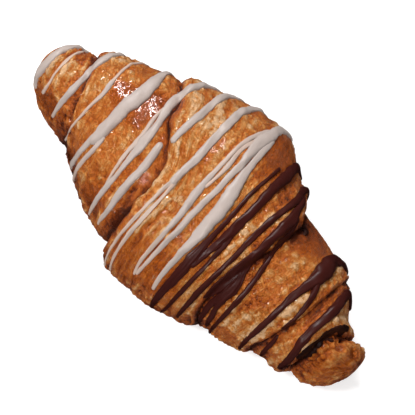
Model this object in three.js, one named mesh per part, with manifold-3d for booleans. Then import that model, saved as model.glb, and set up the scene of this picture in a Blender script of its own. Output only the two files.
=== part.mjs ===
// A butter croissant drizzled with white icing and dark chocolate.
// Millimetres, +Z up. The croissant lies along X with the white end at -X,
// and rests on its flat underside at z = 0.
import * as THREE from "three";
import Module from "manifold-3d";

const wasm = await Module();
wasm.setup();

// Driving dimensions.
const LENGTH = 155;
const WIDTH = 65;
const HEIGHT = 45;
const HALF_LENGTH = LENGTH / 2;
const HALF_WIDTH = WIDTH / 2;

// The bare roll before its turns are added, from the white end to the dark end: place along the
// half length, breadth of the half width, crown of the height, underside of the height, and how
// many millimetres its axis wanders to +Y. An underside below zero is cut off flat by the tray.
const ROLL = [
  [-1.0, 0.26, 0.74, 0.06, -5.2],
  [-0.85, 0.42, 0.8, 0.02, -4.7],
  [-0.72, 0.55, 0.85, -0.02, -2.2],
  [-0.57, 0.67, 0.9, -0.06, -0.4],
  [-0.39, 0.88, 0.95, -0.1, -0.1],
  [-0.18, 1.05, 1, -0.12, 1.6],
  [0.03, 1.12, 1, -0.12, 1.5],
  [0.21, 0.95, 0.97, -0.12, -1.9],
  [0.39, 0.77, 0.9, -0.09, -1],
  [0.54, 0.67, 0.82, -0.05, -0.4],
  [0.7, 0.535, 0.74, 0, 1.3],
  [0.85, 0.335, 0.66, 0.04, -3],
  [1.0, 0.33, 0.58, 0.08, 1.4],
];
const AXIS_HEIGHT = 0.4 * HEIGHT;
const AXIS_DROOP = 3;
const SECTION_POWER = 2.2;
const WHITE_CAP = 7;
const DARK_CAP = 9;
const CAP_POWER = 2.2;

// The seams between the rolled turns: [angle in degrees, x]. Angle 0 faces +Y, 90 is the crown and
// 180 faces -Y. `lip` is how far the upper turn takes to round over, `step` how much it stands
// proud, `dip` how far the lower turn tucks in, `skew` makes it stronger on the +Y side, and
// `inward` points from the seam to the turn that lies on top.
const SEAMS = [
  {
    line: [[0, -66], [45, -63.5], [70, -60], [90, -56], [110, -52.5], [145, -48.5], [180, -47.5],
      [270, -57]],
    lip: 3.5,
    step: 1.8,
    dip: 1.1,
    skew: 0.3,
    inward: 1,
  },
  {
    line: [[0, -38], [34, -35], [58, -27], [76, -23.5], [90, -17.5], [105, -12], [125, -9.5],
      [180, -9.5], [270, -24]],
    lip: 5,
    step: 2.6,
    dip: 1.4,
    skew: -0.35,
    inward: 1,
  },
  {
    line: [[0, 22.4], [25, 27.2], [45, 31.5], [80, 32], [100, 31], [138, 29], [185, 29], [270, 26]],
    lip: 4.5,
    step: 2,
    dip: 1.1,
    skew: 0.3,
    inward: -1,
  },
  {
    line: [[0, 53], [76, 55], [104, 55], [142, 52], [185, 48], [270, 50]],
    lip: 4,
    step: 0.9,
    dip: 0.5,
    skew: 0,
    inward: -1,
  },
  {
    line: [[0, 69], [45, 67.5], [80, 64], [126, 64], [156, 62.5], [200, 61], [270, 65]],
    lip: 3,
    step: 2.3,
    dip: 1.3,
    skew: -0.1,
    inward: -1,
  },
];
const SWELL_LENGTH = 18;
const TUCK_LENGTH = 9;

// Mesh fineness.
const COLUMNS = 52;
const LIP_STEPS = [0.04, 0.2, 0.5];
const CAP_STEPS = [0.35, 0.65, 0.88];
const ROW_SPACING = 3.2;

// Drizzle. A route is a list of [x, angle in degrees, width].
const DRIZZLE_GAP = 0.4;
const DRIZZLE_RISE = 0.34;
const DRIZZLE_MOST = 1.6;
const DRIZZLE_SPACING = 3.5;
const TIP_SWELL = 0.5;
const ROUTE_SAMPLES = 60;
const RUN_STEP = 0.01;
const FEWEST_PARTS = 3;
const MOST_END_ROUND = 1 / 8;

// A strand's section: how far across its half width, and how far up its rise.
const DRIZZLE_SECTION = [
  [-0.85, 0],
  [0, 0],
  [0.85, 0],
  [1, 0.35],
  [0.55, 0.88],
  [0, 1],
  [-0.55, 0.88],
  [-1, 0.35],
];

// A degree round the roll counts as this many millimetres when a route's curve is drawn.
const DEGREE_REACH = 0.5;

const PASTRY = { color: 0xb8641c, roughness: 0.45 };
const ICING = { color: 0xd8cdc4, roughness: 0.5 };
const CHOCOLATE = { color: 0x34151a, roughness: 0.25 };
const FILLING = { color: 0x24100c, roughness: 0.35 };

// The value of one column of a table at `place`, by a cubic through its rows.
function tableValue(rows, column, place) {
  let i = 0;
  while (i < rows.length - 2 && place > rows[i + 1][0]) {
    i += 1;
  }
  const slope = (k) => {
    const before = rows[Math.max(k - 1, 0)];
    const after = rows[Math.min(k + 1, rows.length - 1)];
    return (after[column] - before[column]) / (after[0] - before[0]);
  };
  const span = rows[i + 1][0] - rows[i][0];
  const t = THREE.MathUtils.clamp((place - rows[i][0]) / span, 0, 1);
  const a = rows[i][column];
  const b = rows[i + 1][column];
  const rise = slope(i) * span;
  const fall = slope(i + 1) * span;
  return a + t * (rise + t * (3 * (b - a) - 2 * rise - fall + t * (2 * (a - b) + rise + fall)));
}

// A seam's line carried once round each way, so that it closes on itself.
function closedLine(line) {
  const turned = (by) => line.map(([angle, x]) => [angle + by, x]);
  return [...turned(-360), ...line, ...turned(360)];
}

const seamLines = SEAMS.map((seam) => closedLine(seam.line));

function seamX(index, angle) {
  const turn = THREE.MathUtils.euclideanModulo(angle, 360);
  return tableValue(seamLines[index], 1, turn);
}

// How far the crust stands off the bare roll because of its turns.
function turnOffset(x, angle) {
  let offset = 0;
  SEAMS.forEach((seam, index) => {
    const beyond = (x - seamX(index, angle)) * seam.inward;
    const strength = 1 + seam.skew * Math.cos(THREE.MathUtils.degToRad(angle));
    if (beyond > 0) {
      const t = Math.min(beyond / seam.lip, 1);
      const round = Math.sqrt(1 - (1 - t) ** 2);
      const fade = Math.exp(-Math.max(beyond - seam.lip, 0) / SWELL_LENGTH);
      offset += strength * ((seam.step + seam.dip) * round - seam.dip) * fade;
    } else {
      offset -= strength * seam.dip * Math.max(1 + beyond / TUCK_LENGTH, 0) ** 2;
    }
  });
  return offset;
}

// Rounds the two ends of the roll off to a point on its axis.
function capFactor(x) {
  const cap = x < 0 ? WHITE_CAP : DARK_CAP;
  const t = THREE.MathUtils.clamp((Math.abs(x) - HALF_LENGTH + cap) / cap, 0, 1);
  return (1 - t ** CAP_POWER) ** (1 / CAP_POWER);
}

function axisPoint(x) {
  const place = x / HALF_LENGTH;
  return new THREE.Vector3(x, tableValue(ROLL, 4, place), AXIS_HEIGHT - AXIS_DROOP * place ** 2);
}

// The point of the crust at a place along the roll and an angle round it.
function crustPoint(x, angle) {
  const place = x / HALF_LENGTH;
  const turn = THREE.MathUtils.degToRad(angle);
  const axis = axisPoint(x);
  const across = HALF_WIDTH * tableValue(ROLL, 1, place);
  const crown = HEIGHT * tableValue(ROLL, 2, place);
  const under = HEIGHT * tableValue(ROLL, 3, place);
  const tall = Math.sin(turn) >= 0 ? crown - axis.z : axis.z - under;
  const breadth = Math.abs(Math.cos(turn)) / across;
  const height = Math.abs(Math.sin(turn)) / tall;
  const bare = (breadth ** SECTION_POWER + height ** SECTION_POWER) ** (-1 / SECTION_POWER);
  const radius = (bare + turnOffset(x, angle)) * capFactor(x);
  const z = Math.max(axis.z + radius * Math.sin(turn), 0);
  return new THREE.Vector3(x, axis.y + radius * Math.cos(turn), z);
}

// The places along the roll where a ring of vertices goes, each as a function of the angle, so
// that rings run along the seams. Neither end point is among them.
function crustRings() {
  const rings = [];
  const tips = [
    { at: () => -HALF_LENGTH, near: WHITE_CAP, steps: CAP_STEPS.map((t) => t ** 2) },
    ...SEAMS.map((seam, index) => ({ at: (angle) => seamX(index, angle), seam })),
    { at: () => HALF_LENGTH, near: DARK_CAP, steps: CAP_STEPS.map((t) => t ** 2) },
  ];
  for (let i = 0; i + 1 < tips.length; i += 1) {
    const from = tips[i];
    const to = tips[i + 1];
    const lead = from.near ?? (from.seam.inward > 0 ? from.seam.lip : 0);
    const trail = to.near ?? (to.seam.inward < 0 ? to.seam.lip : 0);
    if (from.seam) {
      rings.push(from.at);
    }
    if (lead) {
      (from.steps ?? LIP_STEPS).forEach((t) => rings.push((a) => from.at(a) + t * lead));
    }
    const room = to.at(90) - from.at(90) - lead - trail;
    const parts = Math.max(Math.round(room / ROW_SPACING), 1);
    for (let k = lead ? 0 : 1; k <= (trail ? parts : parts - 1); k += 1) {
      rings.push((a) => {
        const low = from.at(a) + lead;
        const high = to.at(a) - trail;
        return low + ((high - low) * k) / parts;
      });
    }
    if (trail) {
      [...(to.steps ?? LIP_STEPS)].reverse().forEach((t) => rings.push((a) => to.at(a) - t * trail));
    }
  }
  return rings;
}

// A closed skin over rings of points, with a point or a flat cap at each end.
function skin(rings, first, last) {
  const size = rings[0].length;
  const points = [first, ...rings.flat(), last];
  const faces = [];
  const at = (ring, k) => 1 + ring * size + (k % size);
  for (let k = 0; k < size; k += 1) {
    faces.push(0, at(0, k + 1), at(0, k));
    faces.push(points.length - 1, at(rings.length - 1, k), at(rings.length - 1, k + 1));
  }
  for (let ring = 0; ring + 1 < rings.length; ring += 1) {
    for (let k = 0; k < size; k += 1) {
      faces.push(at(ring, k), at(ring + 1, k + 1), at(ring + 1, k));
      faces.push(at(ring, k), at(ring, k + 1), at(ring + 1, k + 1));
    }
  }
  const geometry = new THREE.BufferGeometry().setFromPoints(points);
  geometry.setIndex(faces);
  return geometry;
}

function pastryGeometry() {
  const angles = Array.from({ length: COLUMNS }, (_, k) => (360 * k) / COLUMNS);
  const rings = crustRings().map((place) => angles.map((a) => crustPoint(place(a), a)));
  return skin(rings, axisPoint(-HALF_LENGTH), axisPoint(HALF_LENGTH));
}

// The crust's outward normal, and how the crust point moves with x and with the angle.
function crustFrame(x, angle) {
  const stepX = 0.5;
  const stepAngle = 1;
  const alongX = crustPoint(x + stepX, angle).sub(crustPoint(x - stepX, angle));
  const around = crustPoint(x, angle + stepAngle).sub(crustPoint(x, angle - stepAngle));
  alongX.divideScalar(2 * stepX);
  around.divideScalar(2 * stepAngle);
  const normal = new THREE.Vector3().crossVectors(around, alongX).normalize();
  return { alongX, around, normal };
}

// One ring of a strand's rounded section laid on the crust, `across` its run, scaled by `swell`.
function strandRing(x, angle, run, width, swell) {
  const { alongX, around, normal } = crustFrame(x, angle);
  const side = new THREE.Vector3().crossVectors(normal, run).normalize();
  const xx = alongX.dot(alongX);
  const aa = around.dot(around);
  const xa = alongX.dot(around);
  const scale = xx * aa - xa * xa;
  const perX = (side.dot(alongX) * aa - side.dot(around) * xa) / scale;
  const perAngle = (side.dot(around) * xx - side.dot(alongX) * xa) / scale;
  const half = (width / 2) * swell;
  const rise = Math.min(width * DRIZZLE_RISE, DRIZZLE_MOST) * swell;
  return DRIZZLE_SECTION.map(([across, up]) => {
    const reach = across * half;
    const foot = crustPoint(x + reach * perX, angle + reach * perAngle);
    return foot.addScaledVector(normal, DRIZZLE_GAP + up * rise);
  });
}

function meanPoint(points) {
  const sum = points.reduce((total, point) => total.add(point), new THREE.Vector3());
  return sum.divideScalar(points.length);
}

// A strand of drizzle that follows `route` over the crust, with rounded ends.
function strandGeometry(route) {
  const curve = new THREE.CatmullRomCurve3(
    route.map(([x, angle, width]) => new THREE.Vector3(x, angle * DEGREE_REACH, width)),
    false,
    "centripetal",
  );
  const onCrust = (t) => {
    const point = curve.getPoint(t);
    return crustPoint(point.x, point.y / DEGREE_REACH);
  };
  const reach = [0];
  for (let i = 1; i <= ROUTE_SAMPLES; i += 1) {
    const step = onCrust(i / ROUTE_SAMPLES).distanceTo(onCrust((i - 1) / ROUTE_SAMPLES));
    reach.push(reach[i - 1] + step);
  }
  const placeAt = (distance) => {
    const i = Math.max(reach.findIndex((value) => value >= distance), 1);
    return (i - 1 + (distance - reach[i - 1]) / (reach[i] - reach[i - 1])) / ROUTE_SAMPLES;
  };
  const length = reach[ROUTE_SAMPLES];
  const parts = Math.max(Math.round(length / DRIZZLE_SPACING), FEWEST_PARTS);
  const endRound = Math.min(route[0][2] / 2, length * MOST_END_ROUND);
  const places = [0, endRound];
  for (let k = 1; k < parts; k += 1) {
    places.push((length * k) / parts);
  }
  places.push(length - endRound, length);
  const rings = places.map((distance, k) => {
    const t = placeAt(distance);
    const point = curve.getPoint(t);
    const run = onCrust(Math.min(t + RUN_STEP, 1)).sub(onCrust(Math.max(t - RUN_STEP, 0)));
    const swell = k === 0 || k === places.length - 1 ? TIP_SWELL : 1;
    return strandRing(point.x, point.y / DEGREE_REACH, run, point.z, swell);
  });
  return skin(rings, meanPoint(rings[0]), meanPoint(rings.at(-1)));
}

function solidOf(geometry) {
  const mesh = new wasm.Mesh({
    numProp: 3,
    vertProperties: new Float32Array(geometry.attributes.position.array),
    triVerts: new Uint32Array(geometry.index.array),
  });
  return new wasm.Manifold(mesh);
}

function geometryOf(solid) {
  const mesh = solid.getMesh();
  const geometry = new THREE.BufferGeometry();
  geometry.setAttribute("position", new THREE.BufferAttribute(mesh.vertProperties, 3));
  geometry.setIndex(new THREE.BufferAttribute(mesh.triVerts, 1));
  return geometry;
}

// Strands that flowed together set as one piece.
function joinedStrands(routes) {
  const solids = routes.map((route) => solidOf(strandGeometry(route)));
  return geometryOf(solids.reduce((whole, next) => whole.add(next)));
}

const WHITE_STRANDS = {
  white_strand_1: [
    [[-67.5, 46, 1.6], [-70.4, 63, 2.4], [-71.3, 80, 3], [-71.3, 100, 3.5], [-71.4, 119, 3.4],
     [-71.3, 133, 2.4], [-70, 142, 1.5]],
  ],
  white_strand_2: [
    [[-67.3, 60, 1], [-66.9, 84, 1.2], [-66, 102, 1], [-65, 120, 1], [-65.3, 133, 1.5]],
  ],
  white_strand_3: [
    [[-59.5, 14, 1.6], [-58.2, 34, 2], [-57.8, 50, 2.4], [-57.9, 70, 3.2], [-57.8, 84, 2.8],
     [-57.2, 92, 2.1], [-56.7, 104, 2.4], [-56.5, 116, 2.3], [-57, 140, 1.6], [-57.7, 152, 1.2]],
  ],
  white_strand_4: [
    [[-50.5, 14, 1], [-50.7, 40, 1], [-50.4, 62, 1], [-48.7, 79, 1.1], [-47.8, 87, 1.8],
     [-46.9, 96, 1.7], [-46.8, 107, 1.2], [-46.8, 122, 1], [-47.6, 138, 0.9], [-49.3, 168, 0.9]],
  ],
  white_strand_5: [
    [[-40.5, 8, 1.8], [-41.8, 30, 2.4], [-40.2, 52, 3.5], [-38.3, 66, 5], [-37.6, 78, 5.8],
     [-37.6, 92, 5.5], [-36.7, 106, 5], [-36.6, 118, 4.6], [-36.4, 130, 3.2]],
    [[-37.4, 122, 2.6], [-38.2, 140, 2.3], [-39, 154, 2.2], [-40.5, 176, 1.4]],
    [[-35, 118, 2], [-34.4, 130, 1.7], [-34.9, 142, 1.6], [-35.6, 156, 1.5], [-37, 180, 1]],
  ],
  white_strand_6: [
    [[-25, 8, 1.8], [-27.8, 28, 2.4], [-28.6, 40, 2.9], [-29.3, 50, 3.1], [-29, 60, 3.6],
     [-28.2, 68, 3.4], [-26.6, 77, 2.8], [-24.8, 87, 2.6], [-23.8, 95, 3.4], [-23.3, 103, 3.8],
     [-22.6, 113, 2.9], [-22.1, 122, 2.1], [-21.7, 131, 1.6], [-21.8, 143, 2.1], [-22.1, 160, 1.6],
     [-23, 176, 1]],
    [[-29.2, 64, 1.2], [-28.7, 73, 1], [-28.1, 81, 1.3], [-26.9, 89, 1.6], [-25.6, 99, 1.5],
     [-24.9, 114, 1.5], [-24, 124, 1.3], [-23.2, 134, 1], [-22.4, 142, 1]],
  ],
  white_strand_7: [
    [[-17, 4, 1.6], [-19.5, 20, 2.2], [-20.4, 34, 2.8], [-18.9, 53, 2.9], [-17.7, 66, 2.9],
     [-17.1, 77, 2.8], [-16.6, 85, 2.4], [-16, 91, 2.1]],
  ],
  white_strand_8: [
    [[-19.1, 94, 2], [-17.6, 105, 2.8], [-16.6, 117, 2.9], [-16.4, 129, 2.9], [-16.1, 139, 2.7],
     [-15.7, 148, 2.1], [-16.2, 158, 1.6], [-16.8, 168, 0.9]],
  ],
  white_strand_9: [
    [[-8.5, 0, 1.6], [-11.5, 20, 2.4], [-11.6, 36, 3], [-10, 52, 3.2], [-8.7, 63, 3],
     [-7.4, 75, 2.9], [-6.2, 88, 2.9], [-5.7, 100, 2.7], [-4.9, 110, 2.3]],
    [[-5.3, 106, 1.6], [-5.5, 117, 1.3], [-5.3, 140, 1.2], [-5.6, 158, 1], [-6, 180, 0.9]],
    [[-4.5, 106, 1.4], [-3.8, 116, 1.1], [-3.4, 130, 1.4], [-3.2, 144, 1.5], [-2.9, 158, 1],
     [-3, 178, 0.9]],
  ],
  white_strand_10: [
    [[2.5, 4, 2], [0, 20, 3], [0.8, 32, 4.2], [1.6, 42, 4.5], [2.8, 55, 3.3], [4.6, 65, 2.5],
     [5.3, 76, 2.3], [6.3, 87, 2.2], [6.9, 102, 2.3], [7.3, 112, 2.3], [8, 121, 2.1],
     [7.9, 133, 1.8], [7.6, 147, 1.5], [6.9, 160, 1.1]],
    [[2.4, 34, 3], [4.9, 48, 2.5], [6.3, 57, 2.3], [7.8, 67, 3.1], [9.7, 77, 4.6], [11.5, 87, 5],
     [12.8, 97, 4.7], [13.5, 107, 4.4], [14, 118, 3.5], [14, 132, 2.3], [14, 146, 1.8],
     [14.3, 160, 1.3]],
    [[-0.6, 30, 1.8], [-1.4, 48, 1.6], [-0.9, 60, 1.5], [0.3, 74, 1.5], [1.6, 91, 2],
     [2.6, 101, 2.7], [4.1, 112, 2.4], [5.1, 122, 1.9], [5.6, 132, 1.6], [5.5, 147, 1.4],
     [6.2, 162, 1]],
    [[0.4, 46, 1.4], [0.2, 57, 1.4], [0.9, 64, 1.4], [2.1, 72, 1.7], [2.9, 82, 1.3], [3, 95, 1.2]],
  ],
};

const DARK_STRANDS = {
  dark_strand_1: [
    [[15, 0, 2], [12.6, 10, 3.4], [13.2, 20, 4], [15.6, 37, 4.2], [16.6, 49, 3.8], [17.9, 61, 3.4],
     [19, 73, 3.4], [19.7, 85, 3.3], [20, 95, 3.6], [20.1, 105, 3], [19.8, 118, 2.4],
     [19.4, 130, 1.8]],
    [[11.7, 36, 1.3], [12.8, 47, 1.3], [14.2, 68, 1.5], [15.8, 84, 1.6], [16.8, 97, 1.7],
     [17.2, 107, 2], [17.6, 117, 3], [17.9, 127, 4], [17.9, 138, 3.8], [17.4, 154, 2.8],
     [16.2, 172, 2], [15, 186, 1.4]],
    [[20.3, 92, 1.8], [21.8, 104, 1.8], [22.4, 117, 1.5], [22.6, 134, 1.7], [22, 152, 1.6],
     [20.4, 172, 1.2], [18.4, 186, 0.8]],
  ],
  dark_strand_2: [
    [[22, 0, 2], [20.8, 18, 3], [23, 32, 2.7], [24.5, 46, 2.6], [25.1, 66, 2.4], [26, 88, 2.3],
     [26.8, 104, 1.9], [26.9, 122, 2], [26.4, 143, 2.1], [25.8, 158, 1.7], [24.4, 178, 1.1]],
    [[22.6, 26, 2.2], [25.3, 34, 2.4], [27.3, 46, 2.7], [28.6, 53, 4], [29.5, 63, 4],
     [29.9, 75, 3.5], [30.4, 86, 2.8], [30.8, 97, 2.3], [31.4, 108, 2.4], [32.6, 117, 3.4],
     [33.1, 126, 4.4], [32.7, 138, 4], [32.4, 146, 2.6]],
    [[32.2, 134, 2.4], [31.2, 146, 2.4], [30.8, 160, 2.2], [30, 182, 1.3]],
    [[33, 134, 2.4], [33.4, 146, 2.3], [33.7, 158, 2], [33.2, 178, 1.2]],
    [[30, 90, 1.6], [30.5, 100, 2.5], [30.5, 114, 3.2], [30.1, 127, 3.8], [29.3, 137, 2.4],
     [28.7, 145, 1]],
    [[29.2, 48, 1.5], [31.4, 57, 1.5], [32.2, 68, 1.6], [32.9, 79, 1.5], [34.4, 91, 1.8],
     [36, 107, 2], [37.1, 124, 2], [37.2, 138, 1.9], [36.8, 153, 1.6], [35.6, 174, 1.3],
     [34.8, 188, 1.1]],
  ],
  dark_strand_3: [
    [[51, 2, 2.2], [48.3, 16, 3.8], [46.4, 32, 5.2], [47.6, 50, 6.3], [48.8, 68, 5.4],
     [48.6, 82, 3.6], [48.3, 96, 2.9], [48.4, 112, 2.5], [48.4, 130, 2.4], [47.8, 145, 2.1],
     [46.8, 165, 1.7], [46, 184, 1.2]],
    [[49.2, 68, 2.6], [52, 82, 2.1], [53.4, 95, 1.9], [53.9, 108, 1.5], [53.8, 120, 1.3],
     [53.4, 129, 1.1]],
  ],
  dark_strand_4: [
    [[53.7, 136, 1.3], [53.8, 149, 1.7], [53.4, 162, 1.7], [52.6, 184, 1.1]],
  ],
  dark_strand_5: [
    [[61, 4, 2], [57.6, 20, 3.2], [57.6, 36, 3.9], [59.2, 58, 4], [60.3, 79, 3.5], [60.3, 98, 3.3],
     [60.9, 114, 3.1], [61.6, 130, 2.8], [61.5, 148, 2.5], [60.8, 166, 2.1], [60.4, 184, 2.3]],
  ],
};

const FILLING_LEAKS = {
  filling_leak_1: [
    [[66.8, 42, 1.1], [65.9, 57, 1.8], [64.8, 68, 1.3], [64.1, 82, 1.4], [64.3, 96, 2.4],
     [64.4, 110, 3.2], [64, 124, 2.2], [63.4, 134, 1.2]],
    [[64.5, 86, 1.2], [65.6, 80, 1], [67.2, 77, 1.3]],
  ],
  filling_leak_2: [
    [[30.8, 40, 1.2], [32.3, 37, 2.1], [33.6, 40, 1.8], [34.4, 45, 1.1]],
  ],
};

function materialOf(look) {
  return new THREE.MeshStandardMaterial({ ...look, metalness: 0 });
}

const croissant = new THREE.Group();

function addPiece(name, geometry, look) {
  const mesh = new THREE.Mesh(geometry, materialOf(look));
  mesh.name = name;
  croissant.add(mesh);
}

function addStrands(strands, look) {
  for (const [name, routes] of Object.entries(strands)) {
    addPiece(name, joinedStrands(routes), look);
  }
}

addPiece("pastry", pastryGeometry(), PASTRY);
addStrands(WHITE_STRANDS, ICING);
addStrands(DARK_STRANDS, CHOCOLATE);
addStrands(FILLING_LEAKS, FILLING);

// The frame's origin is under the middle of the whole croissant.
const box = new THREE.Box3().setFromObject(croissant);
const middle = box.getCenter(new THREE.Vector3());
croissant.position.set(-middle.x, -middle.y, 0);

export default croissant;
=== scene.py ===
"""A butter croissant drizzled with white icing and dark chocolate, on a pale studio floor."""

import math

import bmesh  # noqa: E402
import bpy  # noqa: E402
import numpy as np  # noqa: E402
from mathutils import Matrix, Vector  # noqa: E402
from mathutils.bvhtree import BVHTree  # noqa: E402


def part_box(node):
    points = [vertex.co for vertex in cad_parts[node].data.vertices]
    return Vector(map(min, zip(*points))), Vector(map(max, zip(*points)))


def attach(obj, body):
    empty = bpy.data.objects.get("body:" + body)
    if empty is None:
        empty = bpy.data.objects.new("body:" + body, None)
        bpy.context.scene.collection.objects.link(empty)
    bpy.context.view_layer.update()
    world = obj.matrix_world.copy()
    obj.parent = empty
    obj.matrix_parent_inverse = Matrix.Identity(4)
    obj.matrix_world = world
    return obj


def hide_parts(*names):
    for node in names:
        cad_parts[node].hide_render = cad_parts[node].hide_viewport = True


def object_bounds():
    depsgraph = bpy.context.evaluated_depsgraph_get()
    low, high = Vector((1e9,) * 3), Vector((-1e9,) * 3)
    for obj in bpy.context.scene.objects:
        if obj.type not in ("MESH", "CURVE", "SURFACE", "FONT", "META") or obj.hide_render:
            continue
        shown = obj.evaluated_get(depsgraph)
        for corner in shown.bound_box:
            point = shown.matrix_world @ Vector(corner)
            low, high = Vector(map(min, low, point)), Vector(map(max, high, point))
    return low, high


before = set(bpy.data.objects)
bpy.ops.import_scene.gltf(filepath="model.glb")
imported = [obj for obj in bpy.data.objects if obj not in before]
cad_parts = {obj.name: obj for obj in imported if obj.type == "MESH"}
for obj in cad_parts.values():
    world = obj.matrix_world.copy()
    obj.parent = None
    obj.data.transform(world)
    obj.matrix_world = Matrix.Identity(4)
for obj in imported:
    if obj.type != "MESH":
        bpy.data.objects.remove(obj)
CAD_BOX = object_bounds()

MM = 0.001
PASTRY_LOW, PASTRY_HIGH = (np.array(corner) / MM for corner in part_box("pastry"))
LENGTH = PASTRY_HIGH[0] - PASTRY_LOW[0]
HALF_LENGTH = LENGTH / 2
HALF_WIDTH = 0.21 * LENGTH
HEIGHT = 0.29 * LENGTH

# ---------------------------------------------------------------- the roll and its turns
# Along the half length, breadth of the half width, crown and underside of the height, and how
# many millimetres the axis wanders to +Y.
ROLL = np.array([
    [-1.0, 0.26, 0.74, 0.06, -5.2],
    [-0.85, 0.42, 0.8, 0.02, -4.7],
    [-0.72, 0.55, 0.85, -0.02, -2.2],
    [-0.57, 0.67, 0.9, -0.06, -0.4],
    [-0.39, 0.88, 0.95, -0.1, -0.1],
    [-0.18, 1.05, 1.0, -0.12, 1.6],
    [0.03, 1.12, 1.0, -0.12, 1.5],
    [0.21, 0.95, 0.97, -0.12, -1.9],
    [0.39, 0.77, 0.9, -0.09, -1.0],
    [0.54, 0.67, 0.82, -0.05, -0.4],
    [0.7, 0.535, 0.74, 0.0, 1.3],
    [0.85, 0.335, 0.66, 0.04, -3.0],
    [1.0, 0.33, 0.58, 0.08, 1.4],
])
AXIS_HEIGHT = 0.4 * HEIGHT
AXIS_DROOP = 3.0
SECTION_POWER = 2.2
CAP_POWER = 2.2
WHITE_CAP, DARK_CAP = 7.0, 9.0
SWELL_LENGTH, TUCK_LENGTH = 18.0, 9.0

# Seams between the turns: angle in degrees (0 faces +Y, 90 the crown, 180 faces -Y) and x in
# millimetres. `inward` points to the turn that lies on top. Its rounded edge is `lip` long and
# stands `step` above the turn below, both tuck in by `dip` at the seam, and `skew` is how much
# stronger all of this is on the +Y side.
SEAMS = [
    {"line": [(0, -66), (45, -63.5), (70, -60), (90, -56), (110, -52.5), (145, -48.5),
              (180, -47.5), (270, -57)],
     "lip": 3.5, "step": 1.8, "dip": 1.1, "skew": 0.3, "inward": 1},
    {"line": [(0, -38), (34, -35), (58, -27), (76, -23.5), (90, -17.5), (105, -12),
              (125, -9.5), (180, -9.5), (270, -24)],
     "lip": 5.0, "step": 2.6, "dip": 1.4, "skew": -0.35, "inward": 1},
    {"line": [(0, 22.4), (25, 27.2), (45, 31.5), (80, 32), (100, 31), (138, 29), (185, 29),
              (270, 26)],
     "lip": 4.5, "step": 2.0, "dip": 1.1, "skew": 0.3, "inward": -1},
    {"line": [(0, 53), (76, 55), (104, 55), (142, 52), (185, 48), (270, 50)],
     "lip": 4.0, "step": 0.9, "dip": 0.5, "skew": 0.0, "inward": -1},
    {"line": [(0, 69), (45, 67.5), (80, 64), (126, 64), (156, 62.5), (200, 61), (270, 65)],
     "lip": 3.0, "step": 2.3, "dip": 1.3, "skew": -0.1, "inward": -1},
]


def smoothstep(low, high, value):
    t = np.clip((value - low) / (high - low), 0, 1)
    return t * t * (3 - 2 * t)


def cubic_table(places, values, at):
    """Values between the rows of a table, by a cubic through them."""
    places, values, at = (np.asarray(a, float) for a in (places, values, at))
    slopes = np.empty_like(values)
    slopes[1:-1] = (values[2:] - values[:-2]) / (places[2:] - places[:-2])
    slopes[0] = (values[1] - values[0]) / (places[1] - places[0])
    slopes[-1] = (values[-1] - values[-2]) / (places[-1] - places[-2])
    i = np.clip(np.searchsorted(places, at, side="right") - 1, 0, len(places) - 2)
    span = places[i + 1] - places[i]
    t = np.clip((at - places[i]) / span, 0, 1)
    rise, fall = slopes[i] * span, slopes[i + 1] * span
    a, b = values[i], values[i + 1]
    return a + t * (rise + t * (3 * (b - a) - 2 * rise - fall + t * (2 * (a - b) + rise + fall)))


def seam_x(seam, angle):
    """Where a seam crosses each angle, in millimetres."""
    line = np.array(seam["line"], float)
    places = np.concatenate([line[:, 0] - 360, line[:, 0], line[:, 0] + 360])
    return cubic_table(places, np.tile(line[:, 1], 3), np.mod(angle, 360))


def turn_offset(x, angle):
    """How far the crust stands off the bare roll because of its turns."""
    offset = np.zeros(np.broadcast(x, angle).shape)
    for seam in SEAMS:
        beyond = (x - seam_x(seam, angle)) * seam["inward"]
        strength = 1 + seam["skew"] * np.cos(np.radians(angle))
        t = np.clip(beyond / seam["lip"], 0, 1)
        rounded = np.sqrt(1 - (1 - t) ** 2)
        fade = np.exp(-np.clip(beyond - seam["lip"], 0, None) / SWELL_LENGTH)
        above = ((seam["step"] + seam["dip"]) * rounded - seam["dip"]) * fade
        below = -seam["dip"] * np.clip(1 + beyond / TUCK_LENGTH, 0, None) ** 2
        offset += strength * np.where(beyond > 0, above, below)
    return offset


def cap_factor(x):
    cap = np.where(x < 0, WHITE_CAP, DARK_CAP)
    t = np.clip((np.abs(x) - HALF_LENGTH + cap) / cap, 0, 1)
    return (1 - t ** CAP_POWER) ** (1 / CAP_POWER)


def axis_point(x):
    place = x / HALF_LENGTH
    y = cubic_table(ROLL[:, 0], ROLL[:, 4], place)
    return y, AXIS_HEIGHT - AXIS_DROOP * place ** 2


def bare_radius(x, angle):
    place = x / HALF_LENGTH
    turn = np.radians(angle)
    across = HALF_WIDTH * cubic_table(ROLL[:, 0], ROLL[:, 1], place)
    crown = HEIGHT * cubic_table(ROLL[:, 0], ROLL[:, 2], place)
    under = HEIGHT * cubic_table(ROLL[:, 0], ROLL[:, 3], place)
    _, axis_z = axis_point(x)
    tall = np.where(np.sin(turn) >= 0, crown - axis_z, axis_z - under)
    breadth = np.abs(np.cos(turn)) / across
    height = np.abs(np.sin(turn)) / tall
    return (breadth ** SECTION_POWER + height ** SECTION_POWER) ** (-1 / SECTION_POWER)


# ---------------------------------------------------------------- noise
def lattice_values(ix, iy, iz, seed):
    """A repeatable value from 0 to 1 for each lattice point."""
    mixed = ix.astype(np.uint32) * np.uint32(374761393)
    mixed = mixed + iy.astype(np.uint32) * np.uint32(668265263)
    mixed = mixed + iz.astype(np.uint32) * np.uint32(2246822519)
    mixed = mixed + np.uint32(seed * 3266489917 & 0xFFFFFFFF)
    mixed = (mixed ^ (mixed >> np.uint32(13))) * np.uint32(1274126177)
    mixed = (mixed ^ (mixed >> np.uint32(16))) * np.uint32(2654435761)
    return ((mixed ^ (mixed >> np.uint32(15))) & np.uint32(0xFFFFFF)) / float(0xFFFFFF)


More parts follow.
